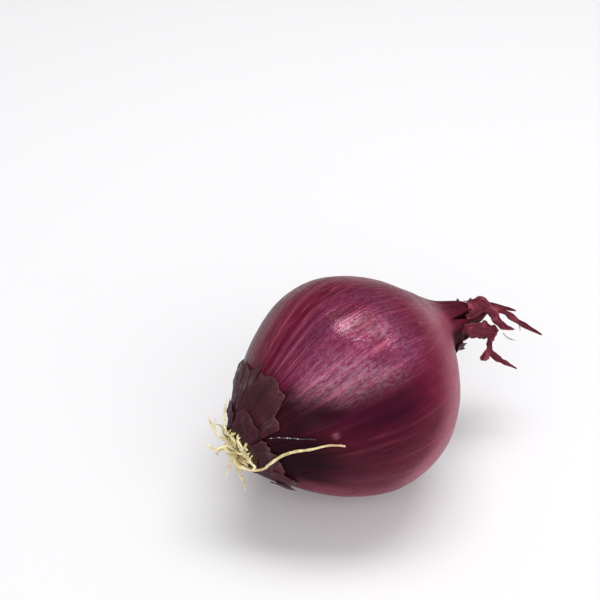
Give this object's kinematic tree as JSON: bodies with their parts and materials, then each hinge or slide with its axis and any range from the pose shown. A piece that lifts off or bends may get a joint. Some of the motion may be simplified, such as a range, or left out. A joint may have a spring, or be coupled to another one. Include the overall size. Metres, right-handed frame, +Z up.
{
  "type": "red onion",
  "caption": "Whole red onion lying on its side, with a gathered neck and dry leaves, torn outer skins and a tuft of dry roots.",
  "frame": {"origin": "middle of the small flat spot under the belly that the onion rests on", "axes": "+Z up, +X along the bulb from the root end toward the neck, which is raised 7 degrees, +Y across"},
  "size_m": [0.1239, 0.0742, 0.0736],
  "materials": {
    "bulb_skin": "gloss",
    "torn_skin": "matte",
    "pale_skin": "satin",
    "cork": "matte",
    "dry_root": "matte",
    "dry_leaf": "matte"
  },
  "bodies": {
    "root": {"bulb": "bulb_skin", "neck_cuff": "torn_skin", "neck_far_leaf": "dry_leaf", "neck_fibre_1": "dry_leaf", "neck_fibre_2": "dry_leaf", "neck_fold": "dry_leaf", "neck_long_leaf": "dry_leaf", "neck_loose_lip": "dry_leaf", "neck_side_leaf": "dry_leaf", "neck_spike": "dry_leaf", "neck_under_leaf": "dry_leaf", "neck_upper_leaf": "dry_leaf", "outer_skin_lower": "torn_skin", "outer_skin_upper": "torn_skin", "pale_skin_edge": "pale_skin", "root_01": "dry_root", "root_02": "dry_root", "root_03": "dry_root", "root_04": "dry_root", "root_05": "dry_root", "root_06": "dry_root", "root_07": "dry_root", "root_08": "dry_root", "root_09": "dry_root", "root_10": "dry_root", "root_11": "dry_root", "root_12": "dry_root", "root_13": "dry_root", "root_14": "dry_root", "root_15": "dry_root", "root_16": "dry_root", "root_17": "dry_root", "root_18": "dry_root", "root_long": "dry_root", "root_plate": "cork", "skin_flake_1": "torn_skin", "skin_flake_2": "torn_skin", "skin_flake_3": "torn_skin", "skin_flake_4": "torn_skin", "skin_flake_5": "torn_skin"}
  },
  "joints": []
}
